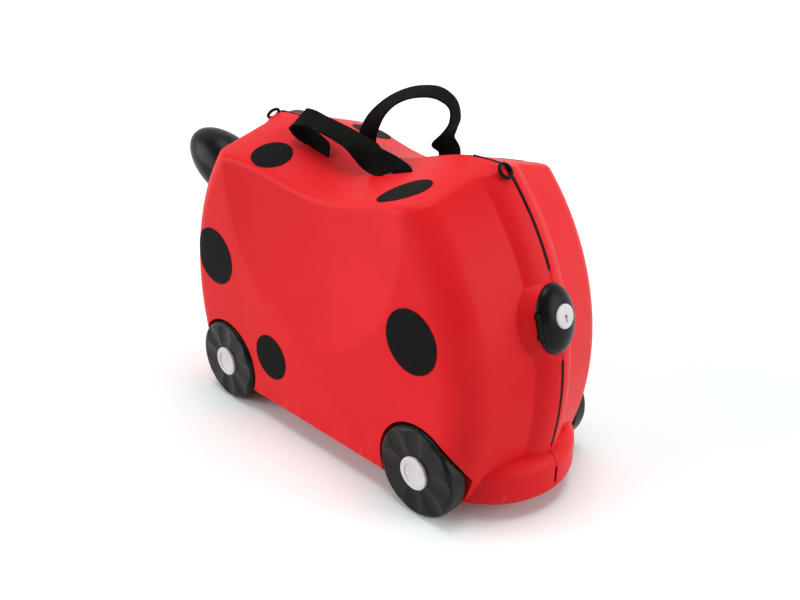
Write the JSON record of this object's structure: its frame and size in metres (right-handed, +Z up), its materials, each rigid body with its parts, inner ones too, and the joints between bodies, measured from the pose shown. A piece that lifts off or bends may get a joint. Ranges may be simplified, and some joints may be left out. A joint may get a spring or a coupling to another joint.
{
  "type": "ride-on suitcase",
  "caption": "Hard-shell child's ride-on suitcase: hinged halves, saddle top, side leg recesses, end latches, webbing handles, horn grips and faceted wheels under the corners.",
  "frame": {"origin": "on the ground, under the middle of the case", "axes": "+X forward to the end with the horn grips, +Y to the rider's left, +Z up"},
  "size_m": [0.4624, 0.205, 0.3502],
  "materials": {
    "shell_red": "satin, finely grained",
    "black_plastic": "satin",
    "black_gloss": "glossy",
    "wheel_black": "satin",
    "white_plastic": "satin",
    "webbing": "woven",
    "steel": "plain"
  },
  "bodies": {
    "left_half": {"left_shell": "shell_red", "hinge_pin": "steel", "seam_trim": "black_plastic", "tow_eye_front": "black_plastic", "tow_eye_rear": "black_plastic", "axle_front_left": "white_plastic", "axle_rear_left": "white_plastic", "axle_clips_left": "steel", "latch_bracket_front": "black_plastic", "latch_bracket_rear": "black_plastic", "latch_pin_front": "steel", "latch_pin_rear": "steel", "latch_screws_front": "steel", "latch_screws_rear": "steel", "horn_left": "black_gloss", "horn_nut_left": "black_plastic", "handle_left": "webbing", "handle_plates_left": "black_plastic", "handle_clamps_left": "black_plastic", "packing_strap_lower": "webbing", "packing_strap_upper": "webbing", "packing_buckle": "black_plastic", "packing_anchors": "black_plastic"},
    "right_half": {"right_shell": "shell_red", "axle_front_right": "white_plastic", "axle_rear_right": "white_plastic", "axle_clips_right": "steel", "horn_right": "black_gloss", "horn_nut_right": "black_plastic", "handle_right": "webbing", "handle_plates_right": "black_plastic", "handle_clamps_right": "black_plastic"},
    "wheel_front_left": {"wheel_front_left": "wheel_black"},
    "wheel_front_right": {"wheel_front_right": "wheel_black"},
    "wheel_rear_left": {"wheel_rear_left": "wheel_black"},
    "wheel_rear_right": {"wheel_rear_right": "wheel_black"},
    "latch_front": {"latch_front": "black_gloss"},
    "lock_front": {"lock_front": "white_plastic", "lock_clip_front": "steel"},
    "latch_rear": {"latch_rear": "black_gloss"},
    "lock_rear": {"lock_rear": "white_plastic", "lock_clip_rear": "steel"}
  },
  "joints": [
    {"name": "case_hinge", "type": "hinge", "parent": "left_half", "child": "right_half", "pos_m": [0, 0, 0.015], "axis": [1, 0, 0], "range_deg": [0, 150]},
    {"name": "wheel_front_left_spin", "type": "hinge", "parent": "left_half", "child": "wheel_front_left", "pos_m": [0.14525, 0.0909, 0.045], "axis": [0, 1, 0], "continuous": true},
    {"name": "wheel_front_right_spin", "type": "hinge", "parent": "right_half", "child": "wheel_front_right", "pos_m": [0.14525, -0.0909, 0.045], "axis": [0, 1, 0], "continuous": true},
    {"name": "wheel_rear_left_spin", "type": "hinge", "parent": "left_half", "child": "wheel_rear_left", "pos_m": [-0.14525, 0.0909, 0.045], "axis": [0, 1, 0], "continuous": true},
    {"name": "wheel_rear_right_spin", "type": "hinge", "parent": "right_half", "child": "wheel_rear_right", "pos_m": [-0.14525, -0.0909, 0.045], "axis": [0, 1, 0], "continuous": true},
    {"name": "latch_front_hinge", "type": "hinge", "parent": "left_half", "child": "latch_front", "pos_m": [0.21861, 0.0298, 0.19164], "axis": [-0.2577, 0, 0.9662], "range_deg": [0, 90]},
    {"name": "lock_front_turn", "type": "hinge", "parent": "latch_front", "child": "lock_front", "pos_m": [0.22702, 0.008, 0.19699], "axis": [0.9662, 0, 0.2577], "range_deg": [0, 90]},
    {"name": "latch_rear_hinge", "type": "hinge", "parent": "left_half", "child": "latch_rear", "pos_m": [-0.21861, 0.0298, 0.19164], "axis": [-0.2577, 0, -0.9662], "range_deg": [0, 90]},
    {"name": "lock_rear_turn", "type": "hinge", "parent": "latch_rear", "child": "lock_rear", "pos_m": [-0.22702, 0.008, 0.19699], "axis": [-0.9662, 0, 0.2577], "range_deg": [0, 90]}
  ]
}
